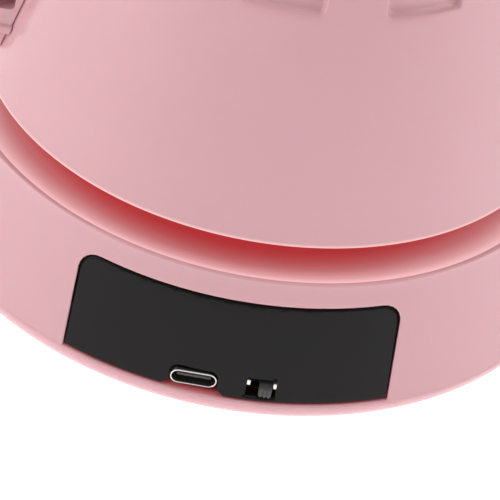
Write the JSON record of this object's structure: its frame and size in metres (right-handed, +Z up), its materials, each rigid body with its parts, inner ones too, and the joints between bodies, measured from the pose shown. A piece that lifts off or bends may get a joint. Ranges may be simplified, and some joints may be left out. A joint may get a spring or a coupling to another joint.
{
  "type": "donut maker",
  "caption": "Round pink countertop donut maker with a flared conical body, hinged domed lid, black curved front panel, charging socket and slide switch.",
  "frame": {"origin": "centre of the foot plane, on the axis of the round base", "axes": "+Z up along the base's axis, -Y towards the control panel, +X towards the lid's handle, -X towards the hinge"},
  "size_m": [0.141, 0.141, 0.1245],
  "materials": {
    "pink_gloss": "glossy moulded pink",
    "panel_black": "piano black, curved",
    "dark_plastic": "dark grey moulded",
    "steel": "plated",
    "plain_aluminium": "plain sheet and tube",
    "nonstick_cast": "cast, dark non-stick coating",
    "rubber": "matt",
    "board_green": "coated circuit board",
    "cell_sleeve": "sleeved cell",
    "wire_red": "silicone sleeve"
  },
  "bodies": {
    "base": {"base_shell": "pink_gloss", "bottom_cover": "pink_gloss", "upper_shell": "pink_gloss", "rear_spine": "pink_gloss", "control_panel": "panel_black", "socket_tongue": "dark_plastic", "boost_inductor": "dark_plastic", "control_chip": "dark_plastic", "heater_terminal": "dark_plastic", "battery_tray": "dark_plastic", "socket_shell": "steel", "switch_frame": "steel", "hinge_pin": "steel", "thermostat": "steel", "cover_screw_1": "steel", "cover_screw_2": "steel", "cover_screw_3": "steel", "cover_screw_4": "steel", "board_screw_1": "steel", "board_screw_2": "steel", "neck_screw_1": "steel", "neck_screw_2": "steel", "neck_screw_3": "steel", "lower_mould_screw_1": "steel", "lower_mould_screw_2": "steel", "lower_mould_screw_3": "steel", "spine_screw_1": "steel", "spine_screw_2": "steel", "lower_heater": "plain_aluminium", "heat_shield": "plain_aluminium", "lower_mould": "nonstick_cast", "rubber_foot_1": "rubber", "rubber_foot_2": "rubber", "rubber_foot_3": "rubber", "rubber_foot_4": "rubber", "main_board": "board_green", "battery_cell_1": "cell_sleeve", "battery_cell_2": "cell_sleeve", "heater_lead": "wire_red"},
    "lid": {"lid_shell": "pink_gloss", "upper_mould": "nonstick_cast", "upper_heater": "plain_aluminium", "lid_heat_shield": "plain_aluminium", "lid_shield_screw": "steel", "lid_handle": "pink_gloss", "latch_pin": "steel", "upper_mould_screw_1": "steel", "upper_mould_screw_2": "steel", "upper_mould_screw_3": "steel", "handle_screw_1": "steel", "handle_screw_2": "steel"},
    "latch": {"lid_latch": "pink_gloss"},
    "knob": {"switch_knob": "dark_plastic"}
  },
  "joints": [
    {"name": "lid_hinge", "type": "hinge", "parent": "base", "child": "lid", "pos_m": [-0.052, 0, 0.0975], "axis": [0, -1, 0], "range_deg": [0, 100]},
    {"name": "latch_pivot", "type": "hinge", "parent": "lid", "child": "latch", "pos_m": [0.05245, 0, 0.1016], "axis": [0, -1, 0], "range_deg": [-12, 34]},
    {"name": "power_switch", "type": "slide", "parent": "base", "child": "knob", "axis": [1, 0, 0], "range_m": [-0.0017, 0]}
  ]
}
